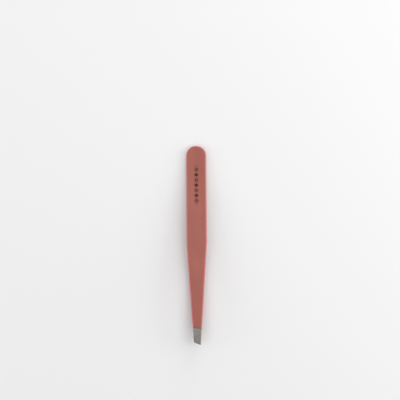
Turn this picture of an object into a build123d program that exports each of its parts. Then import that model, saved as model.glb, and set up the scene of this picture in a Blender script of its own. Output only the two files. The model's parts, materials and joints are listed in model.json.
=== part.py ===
from build123d import *
import os
from math import acos, asin, atan2, cos, hypot, radians, sin, tan

# Slant tweezers: two sprung strips of stainless steel, spot-welded face to face at the head
# and powder-coated down to bare, ground, slanted tips.
#
# The tweezers lie on a broad side. Their length runs along Y with the head towards +Y,
# X is across the strips and +Z is up. Two points touch the ground, z = 0: the belly of
# the lower arm and the end of the head, so the plane between the arms is tipped a little.
#
# Places on an arm are written (along, across, out): along runs from the head end of the
# steel towards the tips, across is +X, and out is the distance from the plane in which
# the two arms are welded together. Millimetres and degrees.

# ---------------------------------------------------------------- driving dimensions
OVERALL_LENGTH = 95.0
STEEL = 0.9                 # thickness of each strip
COAT = 0.1                  # thickness of the powder coat
RIM_RADIUS = 0.6            # rounding of the outer edges of the steel

HEAD_RADIUS = 4.68          # the head is a half circle
SHOULDER_ALONG = 47.2       # the widest place, where the taper to the tip starts
SHOULDER_HALF_WIDTH = 4.76
SHOULDER_ROUNDING = 40.0
TIP_HALF_WIDTH = 1.56
TIP_SLANT = 20.0            # the tip edge, from square across; the +X corner is the longer

WELDED_LENGTH = 12.0        # the strips lie face to face this far
NECK_RADIUS = 37.0          # bend that starts the strips apart
RISE_ANGLE = 4.6            # slope of an arm from the neck to the belly
BELLY_ALONG = 60.0          # start of the long bend that turns the arms back in
BELLY_RADIUS = 181.0
FALL_ANGLE = 3.0            # slope back in, from the belly to the tip

COAT_END_ALONG = 86.8       # middle of the line where the coat stops
COAT_END_SLANT = 9.0
GRIP_LENGTH = 3.0           # flat ground on the inside of each tip
BEVEL_ANGLE = 9.0           # ground slope on the outside of each tip
EDGE_THICKNESS = 0.3        # steel left at the very tip
CLOSED_GAP = 0.02           # from each closed tip to the plane between the arms

HINGE_ALONG = 20.0          # place that an arm, as it flexes, seems to turn about
HINGE_RADIUS = 0.8
HINGE_GAP = 0.05

WELD_PLACES = (4.9, 9.4)
WELD_RADIUS = 1.5
WELD_HALF_HEIGHT = 0.5

REACH = 60.0                # half the size of the solids that only trim others
OVERRUN = 3.0               # how far a strip runs past its tip before the tip is cut
FACING_OUT = 0.9            # a face looks outwards if its normal has this share of out

# ---------------------------------------------------------------- worked-out places
steel_length = OVERALL_LENGTH - COAT
tip_taper = (SHOULDER_HALF_WIDTH - TIP_HALF_WIDTH) / (steel_length - SHOULDER_ALONG)

rise = radians(RISE_ANGLE)
fall = radians(FALL_ANGLE)
neck_end_along = WELDED_LENGTH + NECK_RADIUS * sin(rise)
neck_end_out = NECK_RADIUS * (1 - cos(rise))
rise_length = (BELLY_ALONG - neck_end_along) / cos(rise)
belly_start_out = neck_end_out + rise_length * sin(rise)
belly_centre_along = BELLY_ALONG + BELLY_RADIUS * sin(rise)
belly_centre_out = belly_start_out - BELLY_RADIUS * cos(rise)
belly_end_along = belly_centre_along + BELLY_RADIUS * sin(fall)
belly_end_out = belly_centre_out + BELLY_RADIUS * cos(fall)
fall_length = (steel_length + OVERRUN - belly_end_along) / cos(fall)

# The hinge is in the middle of the steel.
hinge_out = neck_end_out + (HINGE_ALONG - neck_end_along) * tan(rise) + STEEL / 2 / cos(rise)

# An arm closes until the heel of its grip flat reaches the plane between the arms, and
# the flat is ground so that it then lies along that plane.
heel_along = steel_length - GRIP_LENGTH
heel_out = belly_end_out - (heel_along - belly_end_along) * tan(fall)
heel_reach = hypot(heel_along - HINGE_ALONG, heel_out - hinge_out)
heel_bearing = atan2(heel_out - hinge_out, heel_along - HINGE_ALONG)
closing = heel_bearing + asin((hinge_out - CLOSED_GAP) / heel_reach)
grip_end_out = heel_out + GRIP_LENGTH * tan(closing)

# The ground is tangent to the rounded lower edge of the head and to the lower belly.
rim = RIM_RADIUS + COAT
rim_along = RIM_RADIUS
rim_out = STEEL - RIM_RADIUS
belly_outer_radius = BELLY_RADIUS + STEEL + COAT
centres_along = belly_centre_along - rim_along
centres_up = rim_out - belly_centre_out
centres_apart = hypot(centres_along, centres_up)
tip_up = atan2(centres_along, centres_up) - acos((belly_outer_radius - rim) / centres_apart)
head_height = rim - rim_along * sin(tip_up) + rim_out * cos(tip_up)

# The origin is halfway between the end of the head and the longer corner of the lower tip.
head_overhang = rim - rim_along * cos(tip_up) + rim_out * sin(tip_up)
tip_overhang = steel_length * cos(tip_up) + (grip_end_out + EDGE_THICKNESS) * sin(tip_up)
head_y = (tip_overhang - head_overhang) / 2

# ---------------------------------------------------------------- planes
across = Vector(1, 0, 0)
along = Vector(0, -cos(tip_up), sin(tip_up))
out = Vector(0, sin(tip_up), cos(tip_up))
head_point = Vector(0, head_y, head_height)


def place(along_mm, across_mm, out_mm):
    """A place on the upper arm, as a point of the model."""
    return head_point + along * along_mm + across * across_mm + out * out_mm


weld_plane = Plane(origin=head_point, x_dir=along, z_dir=out)         # sketches: (along, across)
side_plane = Plane(origin=head_point, x_dir=along, z_dir=-across)     # sketches: (along, out)

tip_corner = place(steel_length, TIP_HALF_WIDTH, grip_end_out + EDGE_THICKNESS)
tip_facing = along * cos(radians(TIP_SLANT)) - across * sin(radians(TIP_SLANT))
tip_plane = Plane(origin=tip_corner, z_dir=tip_facing)

bevel_facing = tip_facing * sin(radians(BEVEL_ANGLE)) + out * cos(radians(BEVEL_ANGLE))
bevel_plane = Plane(origin=tip_corner, z_dir=bevel_facing)

grip_facing = out * cos(closing) - along * sin(closing)
grip_plane = Plane(origin=place(heel_along, 0, heel_out), z_dir=grip_facing)

coat_end_facing = along * cos(radians(COAT_END_SLANT)) - across * sin(radians(COAT_END_SLANT))
coat_end_plane = Plane(origin=place(COAT_END_ALONG, 0, 0), z_dir=coat_end_facing)


# ---------------------------------------------------------------- shapes that repeat
def whole_arm(skin):
    """The upper arm from head to tip, not yet ground. Its faces lie skin outside the steel."""
    with BuildPart() as arm:
        # Side view: flat weld, neck bend, straight rise, long belly bend, straight fall.
        with BuildSketch(side_plane):
            with BuildLine():
                ends = []
                for face in (-skin, STEEL + skin):
                    flat = Line((-skin, face), (WELDED_LENGTH, face))
                    neck = JernArc(flat @ 1, flat % 1, NECK_RADIUS - face, RISE_ANGLE)
                    rising = Line(neck @ 1, neck @ 1 + neck % 1 * rise_length)
                    belly = JernArc(rising @ 1, rising % 1, BELLY_RADIUS + face, -RISE_ANGLE - FALL_ANGLE)
                    falling = Line(belly @ 1, belly @ 1 + belly % 1 * fall_length)
                    ends.append((flat @ 0, falling @ 1))
                (inner_head, inner_tip), (outer_head, outer_tip) = ends
                Line(inner_head, outer_head)
                Line(inner_tip, outer_tip)
            make_face()
        extrude(amount=REACH, both=True)
        # Seen from above: half-round head, sides that widen to the shoulder, long taper.
        end_along = steel_length + OVERRUN
        end_half_width = TIP_HALF_WIDTH - OVERRUN * tip_taper + skin
        head_half_width = HEAD_RADIUS + skin
        with BuildSketch(weld_plane):
            with BuildLine():
                ThreePointArc(
                    (HEAD_RADIUS, -head_half_width), (-skin, 0), (HEAD_RADIUS, head_half_width)
                )
                for side in (-1, 1):
                    FilletPolyline(
                        (HEAD_RADIUS, side * head_half_width),
                        (SHOULDER_ALONG, side * (SHOULDER_HALF_WIDTH + skin)),
                        (end_along, side * end_half_width),
                        radius=SHOULDER_ROUNDING,
                    )
                Line((end_along, -end_half_width), (end_along, end_half_width))
            make_face()
        extrude(amount=REACH, both=True, mode=Mode.INTERSECT)
        outer_faces = arm.faces().filter_by(lambda face: face.normal_at().dot(out) > FACING_OUT)
        fillet(outer_faces.edges().filter_by(Axis.X, reverse=True), RIM_RADIUS + skin)
    return arm.part


coated_arm = whole_arm(COAT)

with BuildPart() as ground_arm:
    add(whole_arm(0))
    split(bisect_by=tip_plane, keep=Keep.BOTTOM)
    split(bisect_by=bevel_plane, keep=Keep.BOTTOM)
    split(bisect_by=grip_plane, keep=Keep.TOP)
steel_arm = ground_arm.part

# Everything on the head's side of both hinges.
with BuildPart() as head_side:
    with BuildSketch(side_plane):
        with Locations((HINGE_ALONG, 0)):
            Rectangle(REACH, REACH, align=(Align.MAX, Align.CENTER))
        with Locations((HINGE_ALONG, hinge_out), (HINGE_ALONG, -hinge_out)):
            Circle(HINGE_RADIUS + HINGE_GAP, mode=Mode.SUBTRACT)
    extrude(amount=REACH, both=True)

# Everything on the tip's side of the upper hinge, rounded about it.
with BuildPart() as blade_side:
    with BuildSketch(side_plane):
        with Locations((HINGE_ALONG, 0)):
            Rectangle(2 * REACH, REACH, align=(Align.MIN, Align.CENTER))
        with Locations((HINGE_ALONG, hinge_out)):
            Circle(HINGE_RADIUS)
    extrude(amount=REACH, both=True)


# ---------------------------------------------------------------- weld nuggets
# Two spots where the strips are melted together: lenses across the joint between them.
with BuildPart() as weld_nuggets:
    for weld_along in WELD_PLACES:
        weld_centre = place(weld_along, 0, 0)
        with BuildSketch(Plane(origin=weld_centre, x_dir=along, z_dir=-across)):
            with BuildLine():
                for height in (-WELD_HALF_HEIGHT, WELD_HALF_HEIGHT):
                    TangentArc((0, height), (WELD_RADIUS, 0), tangent=(1, 0))
                Line((0, -WELD_HALF_HEIGHT), (0, WELD_HALF_HEIGHT))
            make_face()
        revolve(axis=Axis(weld_centre, out))

# ---------------------------------------------------------------- head
with BuildPart() as upper_head:
    add(steel_arm)
    add(head_side.part, mode=Mode.INTERSECT)
    add(weld_nuggets.part, mode=Mode.SUBTRACT)

with BuildPart() as lower_head:
    mirror(upper_head.part, about=weld_plane)

with BuildPart() as head_coat:
    add(coated_arm)
    mirror(coated_arm, about=weld_plane)
    add(steel_arm, mode=Mode.SUBTRACT)
    mirror(steel_arm, about=weld_plane, mode=Mode.SUBTRACT)
    add(head_side.part, mode=Mode.INTERSECT)

# ---------------------------------------------------------------- arms
with BuildPart() as upper_blade:
    add(steel_arm)
    add(blade_side.part, mode=Mode.INTERSECT)

with BuildPart() as upper_coat:
    add(coated_arm)
    split(bisect_by=coat_end_plane, keep=Keep.BOTTOM)
    add(steel_arm, mode=Mode.SUBTRACT)
    add(blade_side.part, mode=Mode.INTERSECT)

with BuildPart() as lower_blade:
    mirror(upper_blade.part, about=weld_plane)

with BuildPart() as lower_coat:
    mirror(upper_coat.part, about=weld_plane)

# ---------------------------------------------------------------- files
os.makedirs("parts", exist_ok=True)

upper_head.part.label = "upper_head"
export_step(upper_head.part, "parts/upper_head.step")

lower_head.part.label = "lower_head"
export_step(lower_head.part, "parts/lower_head.step")

weld_nuggets.part.label = "weld_nuggets"
export_step(weld_nuggets.part, "parts/weld_nuggets.step")

head_coat.part.label = "head_coat"
export_step(head_coat.part, "parts/head_coat.step")

upper_blade.part.label = "upper_blade"
export_step(upper_blade.part, "parts/upper_blade.step")

lower_blade.part.label = "lower_blade"
export_step(lower_blade.part, "parts/lower_blade.step")

upper_coat.part.label = "upper_coat"
export_step(upper_coat.part, "parts/upper_coat.step")

lower_coat.part.label = "lower_coat"
export_step(lower_coat.part, "parts/lower_coat.step")
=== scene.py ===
import json
from math import cos, pi, radians, sin, sqrt, tan

import bmesh
import bpy
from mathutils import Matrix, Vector


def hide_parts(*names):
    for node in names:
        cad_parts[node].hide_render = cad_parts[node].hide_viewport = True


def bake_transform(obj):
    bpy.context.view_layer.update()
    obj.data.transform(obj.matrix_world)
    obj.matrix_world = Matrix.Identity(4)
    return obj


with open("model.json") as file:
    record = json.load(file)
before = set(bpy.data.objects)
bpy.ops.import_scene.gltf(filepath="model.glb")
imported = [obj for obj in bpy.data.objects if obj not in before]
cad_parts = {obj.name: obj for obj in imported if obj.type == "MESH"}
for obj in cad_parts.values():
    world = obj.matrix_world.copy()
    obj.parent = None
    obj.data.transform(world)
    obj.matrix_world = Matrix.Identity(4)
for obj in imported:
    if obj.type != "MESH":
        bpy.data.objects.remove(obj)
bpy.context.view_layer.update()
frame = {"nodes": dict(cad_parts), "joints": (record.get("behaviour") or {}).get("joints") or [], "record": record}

# Slant tweezers lying on a broad side. The CAD model cuts each arm at a hinge, because its
# bodies are rigid. Here each arm is one unbroken steel strip in one unbroken coat, and
# bends over the hinge.
#
# Places on an arm are (along, across, out) in millimetres: along runs from the head end of
# the steel to the tips, across is +X, and out is the distance from the plane between the arms.

MM = 0.001

# ---------------------------------------------------------------- sizes, as in the CAD model
COAT = 0.1                  # thickness of the powder coat
HEAD_RADIUS = 4.68
SHOULDER_ALONG = 47.2       # the widest place
SHOULDER_HALF_WIDTH = 4.76
SHOULDER_ROUNDING = 40.0
STEEL_LENGTH = 94.9
TIP_HALF_WIDTH = 1.56
TIP_SLANT = radians(20)
WELDED_LENGTH = 12.0        # the strips lie face to face this far
NECK_RADIUS = 37.0
RISE = radians(4.6)
BELLY_ALONG = 60.0
BELLY_RADIUS = 181.0
FALL = radians(3)
COAT_END_ALONG = 86.8
COAT_END_SLANT = radians(9)
GRIP_LENGTH = 3.0
BEVEL_ANGLE = radians(9)
EDGE_THICKNESS = 0.3
MOUNT_ALONG = 6.5           # the head's mounts, from the head end

# ---------------------------------------------------------------- sizes for looks only
OUTER_RIM = 0.6             # rounding of the steel's outer edges
INNER_RIM = 0.2             # rounding of the edges that face the other arm
OVERRUN = 1.0               # a strip runs on this far before its tip is ground
COAT_EDGE = 0.1             # the coat rounds off over this length at its end
COAT_ROUNDING = ((1, 1), (0.45, 0.95), (0.15, 0.8), (0.02, 0.55))    # shares of length and thickness
COAT_WANDER = ((0.035, 2.3, 0.6), (0.02, 5.9, 2))    # size, radians per millimetre and start
SLANT_REACH = 12.0          # rows turn from square to the slant of the coat's end over this

# ---------------------------------------------------------------- fineness of the meshes
ARC_STEPS = 30              # rows round a quarter of the head
ROW_STEP = 0.5
COLUMNS = 12                # across a broad face
EDGE_COLUMN = 0.015         # the outermost columns' share of the width
RIM_STEPS = 7
SAME_PLACE_DIGITS = 5       # points that agree to this many decimals are one point
SHARP_ANGLE = radians(28)

# ---------------------------------------------------------------- the frame of an arm
# The head's mounts lie on the coat, one on each face.
mounts = {mount["name"]: mount for mount in frame["record"]["mounts"]}
joints = {joint["name"]: joint for joint in frame["joints"]}
head_top = Vector(mounts["head_top_face"]["pos_m"])
head_under = Vector(mounts["head_under_face"]["pos_m"])
ACROSS = Vector((1, 0, 0))
OUT = Vector(mounts["head_top_face"]["axis"]).normalized()
ALONG = ACROSS.cross(OUT)
HEAD_POINT = (head_top + head_under) / 2 - ALONG * MOUNT_ALONG * MM
STEEL = (head_top - head_under).length / MM / 2 - COAT
CLOSING = radians(joints["upper_arm_flex"]["range_deg"][1])


def place(along, across, out):
    """A point of the model, in metres."""
    return HEAD_POINT + (ALONG * along + ACROSS * across + OUT * out) * MM


# ---------------------------------------------------------------- the lines of an arm
neck_end_along = WELDED_LENGTH + NECK_RADIUS * sin(RISE)
neck_end_out = NECK_RADIUS * (1 - cos(RISE))
belly_start_out = neck_end_out + (BELLY_ALONG - neck_end_along) * tan(RISE)
belly_centre_along = BELLY_ALONG + BELLY_RADIUS * sin(RISE)
belly_centre_out = belly_start_out - BELLY_RADIUS * cos(RISE)
belly_end_along = belly_centre_along + BELLY_RADIUS * sin(FALL)
belly_end_out = belly_centre_out + BELLY_RADIUS * cos(FALL)


def height(along, depth):
    """How far out the surface lies that is depth outside the strip's inner face."""
    if along <= WELDED_LENGTH:
        return depth
    if along <= WELDED_LENGTH + (NECK_RADIUS - depth) * sin(RISE):
        return NECK_RADIUS - sqrt((NECK_RADIUS - depth) ** 2 - (along - WELDED_LENGTH) ** 2)
    if along <= belly_centre_along - (BELLY_RADIUS + depth) * sin(RISE):
        return neck_end_out + (along - neck_end_along) * tan(RISE) + depth / cos(RISE)
    if along <= belly_centre_along + (BELLY_RADIUS + depth) * sin(FALL):
        return belly_centre_out + sqrt((BELLY_RADIUS + depth) ** 2 - (along - belly_centre_along) ** 2)
    return belly_end_out - (along - belly_end_along) * tan(FALL) + depth / cos(FALL)


HEAD_SLOPE = (SHOULDER_HALF_WIDTH - HEAD_RADIUS) / (SHOULDER_ALONG - HEAD_RADIUS)
TIP_SLOPE = (TIP_HALF_WIDTH - SHOULDER_HALF_WIDTH) / (STEEL_LENGTH - SHOULDER_ALONG)
SHOULDER_REACH = SHOULDER_ROUNDING * (HEAD_SLOPE - TIP_SLOPE) / 2


def half_width(along):
    """Half the steel's width past the round of the head, and the slope of its side."""
    past = along - SHOULDER_ALONG
    if past < -SHOULDER_REACH:
        return SHOULDER_HALF_WIDTH + past * HEAD_SLOPE, HEAD_SLOPE
    if past > SHOULDER_REACH:
        return SHOULDER_HALF_WIDTH + past * TIP_SLOPE, TIP_SLOPE
    turned = past + SHOULDER_REACH
    start = SHOULDER_HALF_WIDTH - SHOULDER_REACH * HEAD_SLOPE
    width = start + turned * HEAD_SLOPE - turned ** 2 / (2 * SHOULDER_ROUNDING)
    return width, HEAD_SLOPE - turned / SHOULDER_ROUNDING


def ease(value):
    """0 to 1 with soft ends, and held at 0 and 1 outside that range."""
    value = min(max(value, 0), 1)
    return value * value * (3 - 2 * value)


# ---------------------------------------------------------------- strips
COLUMN_PLACES = (
    [0, EDGE_COLUMN] + [column / COLUMNS for column in range(1, COLUMNS)] + [1 - EDGE_COLUMN, 1]
)
FACE_POINTS = len(COLUMN_PLACES)
RIM_POINTS = 2 * RIM_STEPS + 2


def steps(low, high, longest):
    """Even steps from low up to, but not including, high."""
    count = int((high - low) / longest) + 1
    return [low + (high - low) * step / count for step in range(count)]


def stations(end):
    """Where the rows of a strip cross its edge: close together round the head, then even."""
    turns = steps(0, pi / 2, pi / 2 / ARC_STEPS)
    head = [HEAD_RADIUS * (1 - cos(turn)) for turn in turns]
    return head + steps(HEAD_RADIUS, WELDED_LENGTH, ROW_STEP) + steps(WELDED_LENGTH, end, ROW_STEP)


def edge(along, side):
    """The steel's edge at a station: its place across, and the way it faces."""
    if along < HEAD_RADIUS:
        back = (HEAD_RADIUS - along) / HEAD_RADIUS
        out_to_side = sqrt(1 - back * back)
        return side * HEAD_RADIUS * out_to_side, Vector((-back, side * out_to_side))
    width, slope = half_width(along)
    return side * width, Vector((-slope, side)).normalized()


def rim_profile(skin):
    """The rounded rim from the outer face to the inner face: inset, depth and roundness."""
    profile = []
    for radius, middle, way in ((OUTER_RIM, STEEL - OUTER_RIM, 1), (INNER_RIM, INNER_RIM, -1)):
        for step in range(RIM_STEPS + 1):
            share = step / RIM_STEPS
            turn = pi / 2 * (1 - share if way > 0 else share)
            inset = radius - (radius + skin) * cos(turn)
            profile.append((inset, middle + way * (radius + skin) * sin(turn), cos(turn)))
    return profile


def ring(along, skin, slant=0.0):
    """One row of points round a strip, skin outside the steel: over the top from left to
    right, down the right rim, back under and up the left rim. A slanted row runs further
    along on its right. Each point is (place, roundness)."""
    rims = {}
    for side in (-1, 1):
        station = along + slant * edge(along, side)[0]
        across, facing = edge(station, side)
        corner = Vector((station, across))
        rims[side] = [(corner - facing * inset, depth, bend) for inset, depth, bend in rim_profile(skin)]
    left, right = rims[-1], rims[1]
    points = [(left[0][0].lerp(right[0][0], share), left[0][1], 0) for share in COLUMN_PLACES]
    points += right[1:-1]
    points += [(right[-1][0].lerp(left[-1][0], share), left[-1][1], 0) for share in COLUMN_PLACES]
    points += reversed(left[1:-1])
    placed = []
    for spot, depth, bend in points:
        out = height(spot.x, depth)
        # A coat stops at the plane in which the arms are welded.
        if skin > 0:
            out = max(out, 0)
        placed.append((Vector((spot.x, spot.y, out)), bend))
    return placed


def tube(rows, open_under=()):
    """A mesh through rows of points, in which points at one place are one point. The inner
    face is left out between two rows that are both numbered in open_under."""
    bm = bmesh.new()
    rim = bm.verts.layers.float.new("rim")
    known = {}
    grid = []
    for row in rows:
        line = []
        for spot, bend in row:
            key = tuple(round(value, SAME_PLACE_DIGITS) for value in spot)
            if key not in known:
                known[key] = bm.verts.new(spot)
                known[key][rim] = bend
            line.append(known[key])
        grid.append(line)
    under = range(FACE_POINTS + RIM_POINTS - 2, 2 * FACE_POINTS + RIM_POINTS - 3)
    for number, (line, after) in enumerate(zip(grid, grid[1:])):
        gap = number in open_under and number + 1 in open_under
        for place_in_row in range(len(line)):
            following = (place_in_row + 1) % len(line)
            corners = [line[place_in_row], after[place_in_row], after[following], line[following]]
            corners = list(dict.fromkeys(corners))
            if len(corners) > 2 and not (gap and place_in_row in under):
                if bm.faces.get(corners) is None:
                    bm.faces.new(corners)
    return bm


def cut(bm, point, facing):
    """Grind away everything beyond a plane, and close the flat that this leaves."""
    everything = list(bm.verts) + list(bm.edges) + list(bm.faces)
    bmesh.ops.bisect_plane(bm, geom=everything, plane_co=point, plane_no=facing, clear_outer=True)
    open_edges = [mesh_edge for mesh_edge in bm.edges if mesh_edge.is_boundary]
    bmesh.ops.holes_fill(bm, edges=open_edges, sides=0)


def steel_strip():
    """A whole steel strip with its ground tip: squared off at a slant, thinned outside by a
    long bevel, and flattened inside where it meets the other tip."""
    bm = tube([ring(along, 0) for along in stations(STEEL_LENGTH + OVERRUN)])
    heel_along = STEEL_LENGTH - GRIP_LENGTH
    heel_out = height(heel_along, 0)
    grip_end_out = heel_out + GRIP_LENGTH * tan(CLOSING)
    corner = Vector((STEEL_LENGTH, TIP_HALF_WIDTH, grip_end_out + EDGE_THICKNESS))
    tip_facing = Vector((cos(TIP_SLANT), -sin(TIP_SLANT), 0))
    cut(bm, corner, tip_facing)
    cut(bm, corner, tip_facing * sin(BEVEL_ANGLE) + Vector((0, 0, cos(BEVEL_ANGLE))))
    cut(bm, Vector((heel_along, 0, heel_out)), Vector((sin(CLOSING), 0, -cos(CLOSING))))
    return bm


def coat_unevenness(across):
    """The sprayed end line of the coat wanders a little along the strip."""
    return sum(size * sin(turns * across + start) for size, turns, start in COAT_WANDER)


def coat_skin():
    """The coat of one arm: over the strip to its end line, and back along the steel. It is
    closed where the steel goes in, and has no inner face where the two arms are welded."""
    outside = stations(COAT_END_ALONG - COAT_EDGE)
    rows = [(along, COAT) for along in outside]
    rows += [(COAT_END_ALONG - COAT_EDGE * back, COAT * share) for back, share in COAT_ROUNDING]
    inside = stations(COAT_END_ALONG)[::-1]
    rows += [(COAT_END_ALONG, 0)] + [(along, 0) for along in inside]
    rings = []
    for along, skin in rows:
        share = ease((along - COAT_END_ALONG) / SLANT_REACH + 1)
        points = ring(along, skin, share * tan(COAT_END_SLANT))
        for spot, _ in points:
            spot.x += share * coat_unevenness(spot.y)
        rings.append(points)
    welded = [number for number, (along, _) in enumerate(rows) if along <= WELDED_LENGTH]
    return tube(rings, welded)


# ---------------------------------------------------------------- printed ornament
PRINT_MIDDLE = 18.9         # along the strip
MOTIF_PITCH = 2.5
MOTIFS_EACH_WAY = 3
LOZENGE = (1.08, 1.14)      # half length and half width, as for the other motifs
LOZENGE_HOLE = 0.48         # share of a lozenge frame that is open
SMALL_LOZENGE = (0.24, 0.25)
DOT = (0.18, 0.18)
DOT_ACROSS = 0.84
DART = (0.5, 0.3)
DART_ALONG = 9.2            # from the middle of the print
DART_HOLLOWNESS = 1.6       # above 1, the sides of a dart curve in
INK = 0.012                 # the ink stands this far above the coat
INK_SUNK = 0.004
MOTIF_STEPS = 14
MERGE_DISTANCE = 0.001

# The next four functions give the inner and outer half widths of a motif, as shares of its
# greatest half width, at a share of the way from its middle to either end.


def lozenge(share):
    return 0, 1 - share


def lozenge_frame(share):
    return max(LOZENGE_HOLE - share, 0), 1 - share


def dot(share):
    return 0, sqrt(max(1 - share * share, 0))


def dart(share):
    return 0, (1 - share) ** DART_HOLLOWNESS


def motif(bm, along, across, size, shape):
    """A thin slab of ink on the upper face: strips of quads between two half widths."""
    half_length, half_breadth = size
    spots = [2 * step / MOTIF_STEPS - 1 for step in range(MOTIF_STEPS + 1)]
    for side in (-1, 1):
        layers = []
        for lift in (-INK_SUNK, INK):
            rows = []
            for spot in spots:
                spot_along = along + spot * half_length
                out = height(spot_along, STEEL + COAT) + lift
                places = [across + side * share * half_breadth for share in shape(abs(spot))]
                rows.append([bm.verts.new((spot_along, spot_across, out)) for spot_across in places])
            layers.append(rows)
        low, high = layers
        for step in range(MOTIF_STEPS):
            for rows in layers:
                bm.faces.new((rows[step][0], rows[step][1], rows[step + 1][1], rows[step + 1][0]))
            open_inside = max(shape(abs(spot))[0] for spot in spots[step:step + 2]) > 0
            walls = (0, 1) if open_inside else (1,)
            for rank in walls:
                corners = (low[step][rank], low[step + 1][rank], high[step + 1][rank], high[step][rank])
                bm.faces.new(corners)


def ornament():
    """A border of lozenges and dots along the middle of the upper arm, the same both ways."""
    bm = bmesh.new()
    for number in range(-MOTIFS_EACH_WAY, MOTIFS_EACH_WAY + 1):
        along = PRINT_MIDDLE + number * MOTIF_PITCH
        if number % 2:
            motif(bm, along, 0, LOZENGE, lozenge_frame)
            motif(bm, along, 0, SMALL_LOZENGE, lozenge)
        else:
            motif(bm, along, 0, LOZENGE, lozenge)
        for side in (-1, 1):
            motif(bm, along - MOTIF_PITCH / 2, side * DOT_ACROSS, DOT, dot)
    for side in (-1, 1):
        motif(bm, along + MOTIF_PITCH / 2, side * DOT_ACROSS, DOT, dot)
        motif(bm, PRINT_MIDDLE + side * DART_ALONG, 0, DART, dart)
    bmesh.ops.remove_doubles(bm, verts=bm.verts, dist=MERGE_DISTANCE)
    bmesh.ops.dissolve_degenerate(bm, edges=bm.edges, dist=MERGE_DISTANCE)
    return bm


# ---------------------------------------------------------------- materials
class Shader:
    """A node material in the making. Its textures are fixed to the strip, in millimetres."""

    def __init__(self, name):
        self.material = bpy.data.materials.new(name)
        self.material.use_nodes = True
        self.nodes = self.material.node_tree.nodes
        self.surface = self.nodes["Principled BSDF"]
        self.place = self.add("Attribute", attribute_name="place_mm").outputs["Vector"]

    def feed(self, socket, value):
        """Set a socket to a value, or join it to another socket."""
        if isinstance(value, bpy.types.NodeSocket):
            self.material.node_tree.links.new(value, socket)
        else:
            socket.default_value = value

    def add(self, kind, inputs=None, **settings):
        node = self.nodes.new("ShaderNode" + kind)
        for name, value in settings.items():
            setattr(node, name, value)
        for name, value in (inputs or {}).items():
            self.feed(node.inputs[name], value)
        return node

    def noise(self, size, detail, stretch=(1, 1, 1)):
        """Noise with features of this many millimetres, longer by stretch along, across and out."""
        scale = tuple(1 / (size * amount) for amount in stretch)
        mapped = self.add("Mapping", {"Vector": self.place, "Scale": scale}).outputs["Vector"]
        return self.add("TexNoise", {"Vector": mapped, "Scale": 1.0, "Detail": detail}).outputs["Fac"]

    def span(self, value, between, to=(0.0, 1.0)):
        """The value, stretched from one range to another and held inside it."""
        inputs = {
            "Value": value,
            "From Min": between[0],
            "From Max": between[1],
            "To Min": to[0],
            "To Max": to[1],
        }
        return self.add("MapRange", inputs).outputs["Result"]

    def maths(self, operation, first, second):
        return self.add("Math", {0: first, 1: second}, operation=operation).outputs["Value"]

    def weigh(self, first, second, share):
        """Two values added up, share of the first and the rest of the second."""
        weighed_first = self.maths("MULTIPLY", first, share)
        weighed_second = self.maths("MULTIPLY", second, 1 - share)
        return self.maths("ADD", weighed_first, weighed_second)

    def mix(self, share, first, second):
        """A colour between two colours."""
        # Inputs 6 and 7 and output 2 are the node's colour sockets.
        node = self.add("Mix", {0: share, 6: first, 7: second}, data_type="RGBA")
        return node.outputs[2]

    def bump(self, height_value, depth, below=None):
        """Relief of this many millimetres, on top of the relief below."""
        node = self.add("Bump", {"Height": height_value, "Distance": depth * MM, "Strength": 1.0})
        if below is not None:
            self.feed(node.inputs["Normal"], below)
        return node.outputs["Normal"]

    def finish(self, **inputs):
        """Set the surface's own inputs, named with _ for a space."""
        for name, value in inputs.items():
            self.feed(self.surface.inputs[name.replace("_", " ")], value)
        return self.material


# Ranges in which noise lies: nearly all of it, and its middle, which gives more contrast.
ALL_NOISE = (0.3, 0.7)
MIDDLE_NOISE = (0.35, 0.65)

ROSE_DARK = (0.315, 0.088, 0.064, 1)
ROSE_LIGHT = (0.415, 0.135, 0.102, 1)
# Painted highlight: the paler, pinker rim colour stands in for light caught by the rounded edges.
ROSE_RIM_HIGHLIGHT = (0.545, 0.155, 0.172, 1)
ROSE_NOISE = (0.36, 0.64)
ROSE_ROUGHNESS = (0.38, 0.52)
RIM_HIGHLIGHT_START = (0.02, 0.4)     # the roundness over which the face turns to the painted rim highlight
RIM_HIGHLIGHT_END = (0.85, 1)         # the roundness over which the painted rim highlight turns to the side's colour
SIDE_HIGHLIGHT_LOSS = 0.7            # how far the sides go back from the painted highlight to the colour of the faces


def rose_coat():
    """Satin powder coat with a fine metallic grain and a slight orange peel, with a painted
    highlight round the rim: paler and pinker there, and a little of it down the sides."""
    shader = Shader("rose_coat")
    grain = shader.noise(size=0.10, detail=3)
    flow = shader.noise(size=0.55, detail=1.5)
    cloud = shader.noise(size=7, detail=2, stretch=(2.5, 1, 1))
    rim = shader.add("Attribute", attribute_name="rim").outputs["Fac"]
    speckle = shader.weigh(grain, cloud, share=0.7)
    face = shader.mix(shader.span(speckle, ROSE_NOISE), ROSE_DARK, ROSE_LIGHT)
    # Painted highlight: full on the rounded rim, and only partly on the sides.
    side = shader.span(rim, RIM_HIGHLIGHT_END, (0, SIDE_HIGHLIGHT_LOSS))
    rim_highlight_share = shader.maths("SUBTRACT", shader.span(rim, RIM_HIGHLIGHT_START), side)
    return shader.finish(
        Base_Color=shader.mix(rim_highlight_share, face, ROSE_RIM_HIGHLIGHT),
        Metallic=0.3,
        Roughness=shader.span(grain, ALL_NOISE, ROSE_ROUGHNESS),
        Normal=shader.bump(grain, depth=0.0018, below=shader.bump(flow, depth=0.007)),
    )


STEEL_DARK = (0.200, 0.187, 0.173, 1)
STEEL_LIGHT = (0.360, 0.336, 0.313, 1)
STEEL_ROUGHNESS = (0.32, 0.46)
# Painted shade: a dark band on the steel beside the step where the coat ends.
STEP_SHADE_COLOUR = (0.13, 0.075, 0.06, 1)
STEP_SHADE_REACH = (0.05, 0.45)     # the painted shade fades over these distances from the coat
STEP_SHADE_NOISE = (0.3, 0.6)
STEP_SHADE_STRENGTH = (0.5, 1)


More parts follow.
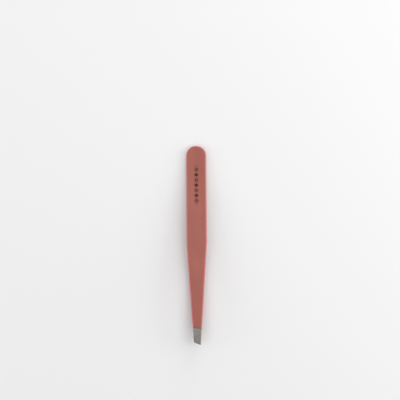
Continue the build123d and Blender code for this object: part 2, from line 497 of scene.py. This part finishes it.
def bare_steel():
    """Ground stainless steel: fine lines lengthways, a few deeper ones, and a thin dark band of
    painted shade on the steel beside the step where the coat ends."""
    shader = Shader("bare_steel")
    lines = shader.noise(size=0.035, detail=3, stretch=(45, 1, 1))
    scores = shader.noise(size=0.16, detail=2, stretch=(30, 1, 1))
    cloud = shader.noise(size=1.6, detail=2)
    polish = shader.weigh(lines, cloud, share=0.6)
    metal = shader.mix(shader.span(polish, MIDDLE_NOISE), STEEL_DARK, STEEL_LIGHT)
    apart = shader.add("SeparateXYZ", {"Vector": shader.place}).outputs
    # Painted shade beside the coat's step, fading away from its end line and patchy.
    coat_line = shader.maths("MULTIPLY", apart["Y"], tan(COAT_END_SLANT))
    past_middle = shader.maths("SUBTRACT", apart["X"], COAT_END_ALONG)
    past_coat = shader.maths("SUBTRACT", past_middle, coat_line)
    fading = shader.span(past_coat, STEP_SHADE_REACH, (1, 0))
    patchy = shader.span(cloud, STEP_SHADE_NOISE, STEP_SHADE_STRENGTH)
    step_shade = shader.maths("MULTIPLY", fading, patchy)
    return shader.finish(
        Base_Color=shader.mix(step_shade, metal, STEP_SHADE_COLOUR),
        Metallic=1.0,
        Roughness=shader.span(lines, ALL_NOISE, STEEL_ROUGHNESS),
        Normal=shader.bump(lines, depth=0.0012, below=shader.bump(scores, depth=0.003)),
    )


INK_DARK = (0.060, 0.010, 0.006, 1)
INK_LIGHT = (0.085, 0.015, 0.010, 1)
INK_ROUGHNESS = (0.45, 0.6)


def print_ink():
    """Dark pad-printed ink, a little uneven over the grain of the coat."""
    shader = Shader("print_ink")
    grain = shader.noise(size=0.12, detail=2)
    return shader.finish(
        Base_Color=shader.mix(shader.span(grain, MIDDLE_NOISE), INK_DARK, INK_LIGHT),
        Roughness=shader.span(grain, ALL_NOISE, INK_ROUGHNESS),
        Specular_IOR_Level=0.3,
        Normal=shader.bump(grain, depth=0.0015),
    )


# ---------------------------------------------------------------- pieces
def piece(name, bm, material, upper=True):
    """A finished mesh in the model's frame. The lower arm's pieces are mirror images."""
    side = 1 if upper else -1
    bmesh.ops.recalc_face_normals(bm, faces=bm.faces)
    if bm.calc_volume(signed=True) * side < 0:
        bmesh.ops.reverse_faces(bm, faces=bm.faces)
    fixed = bm.verts.layers.float_vector.new("place_mm")
    for vert in bm.verts:
        vert[fixed] = (vert.co.x, vert.co.y, side * vert.co.z)
        vert.co = place(vert.co.x, vert.co.y, side * vert.co.z)
    for face in bm.faces:
        face.smooth = True
    mesh = bpy.data.meshes.new(name)
    bm.to_mesh(mesh)
    bm.free()
    mesh.set_sharp_from_angle(angle=SHARP_ANGLE)
    mesh.materials.append(material)
    made = bpy.data.objects.new(name, mesh)
    bpy.context.scene.collection.objects.link(made)
    return made


def flex(made):
    """Bake the piece's placement into its mesh."""
    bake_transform(made)


coat_material = rose_coat()
steel_material = bare_steel()

for upper in (True, False):
    arm = "upper" if upper else "lower"
    steel = piece(arm + "_steel_strip", steel_strip(), steel_material, upper)
    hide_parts(arm + "_head", arm + "_blade")
    flex(steel)
    coat = piece(arm + "_powder_coat", coat_skin(), coat_material, upper)
    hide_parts(arm + "_coat", "head_coat")
    flex(coat)

printed = piece("printed_border", ornament(), print_ink())
flex(printed)

# The welds are inside the head.
welds = frame["nodes"]["weld_nuggets"]
welds.material_slots[0].material = steel_material

# ---------------------------------------------------------------- floor
FLOOR_SIZE = 3.0
FLOOR_COLOUR = (0.86, 0.855, 0.85, 1)


def studio_floor():
    """A plain pale matt floor under the tweezers."""
    shader = Shader("studio_floor")
    material = shader.finish(Base_Color=FLOOR_COLOUR, Roughness=0.8)
    bm = bmesh.new()
    bmesh.ops.create_grid(bm, x_segments=1, y_segments=1, size=FLOOR_SIZE / 2)
    mesh = bpy.data.meshes.new("studio_floor")
    bm.to_mesh(mesh)
    bm.free()
    mesh.materials.append(material)
    floor = bpy.data.objects.new("studio_floor", mesh)
    bpy.context.scene.collection.objects.link(floor)
    return floor


studio_floor()

# ---------------------------------------------------------------- light
# Each soft light's name, place and size in metres, and power in watts.
SOFT_LIGHTS = (
    ("top_light", (0.10, 0.10, 0.60), 0.9, 0.95),
    ("right_light", (0.50, 0.05, 0.22), 0.3, 1.05),
    ("left_light", (-0.50, 0.0, 0.25), 0.3, 0.55),
    ("head_light", (0.12, 0.52, 0.22), 0.3, 0.75),
)
WORLD_COLOUR = (0.80, 0.80, 0.81, 1)
WORLD_STRENGTH = 0.75


def soft_light(name, place_m, size, power):
    """A square soft box that faces the tweezers."""
    light = bpy.data.lights.new(name, "AREA")
    light.size = size
    light.energy = power
    lamp = bpy.data.objects.new(name, light)
    lamp.location = place_m
    lamp.rotation_euler = (-Vector(place_m)).to_track_quat("-Z", "Y").to_euler()
    bpy.context.scene.collection.objects.link(lamp)


for name, place_m, size, power in SOFT_LIGHTS:
    soft_light(name, place_m, size, power)

world = bpy.data.worlds.new("studio")
world.use_nodes = True
background = world.node_tree.nodes["Background"]
background.inputs["Color"].default_value = WORLD_COLOUR
background.inputs["Strength"].default_value = WORLD_STRENGTH
scene = bpy.context.scene
scene.world = world
scene.view_settings.view_transform = "Standard"

# ---------------------------------------------------------------- camera
# It looks straight down, with the head at the top of the picture. The tweezers lie below
# and a little left of the middle of the view, and lean slightly.
CAMERA_PLACE = (0.0017, 0.0215, 0.5361)
CAMERA_TURN = radians(-0.43)
LENS = 100
SENSOR_WIDTH = 36

camera_data = bpy.data.cameras.new("camera")
camera_data.lens = LENS
camera_data.sensor_width = SENSOR_WIDTH
camera = bpy.data.objects.new("camera", camera_data)
camera.location = CAMERA_PLACE
camera.rotation_euler = (0, 0, CAMERA_TURN)
scene.collection.objects.link(camera)
scene.camera = camera
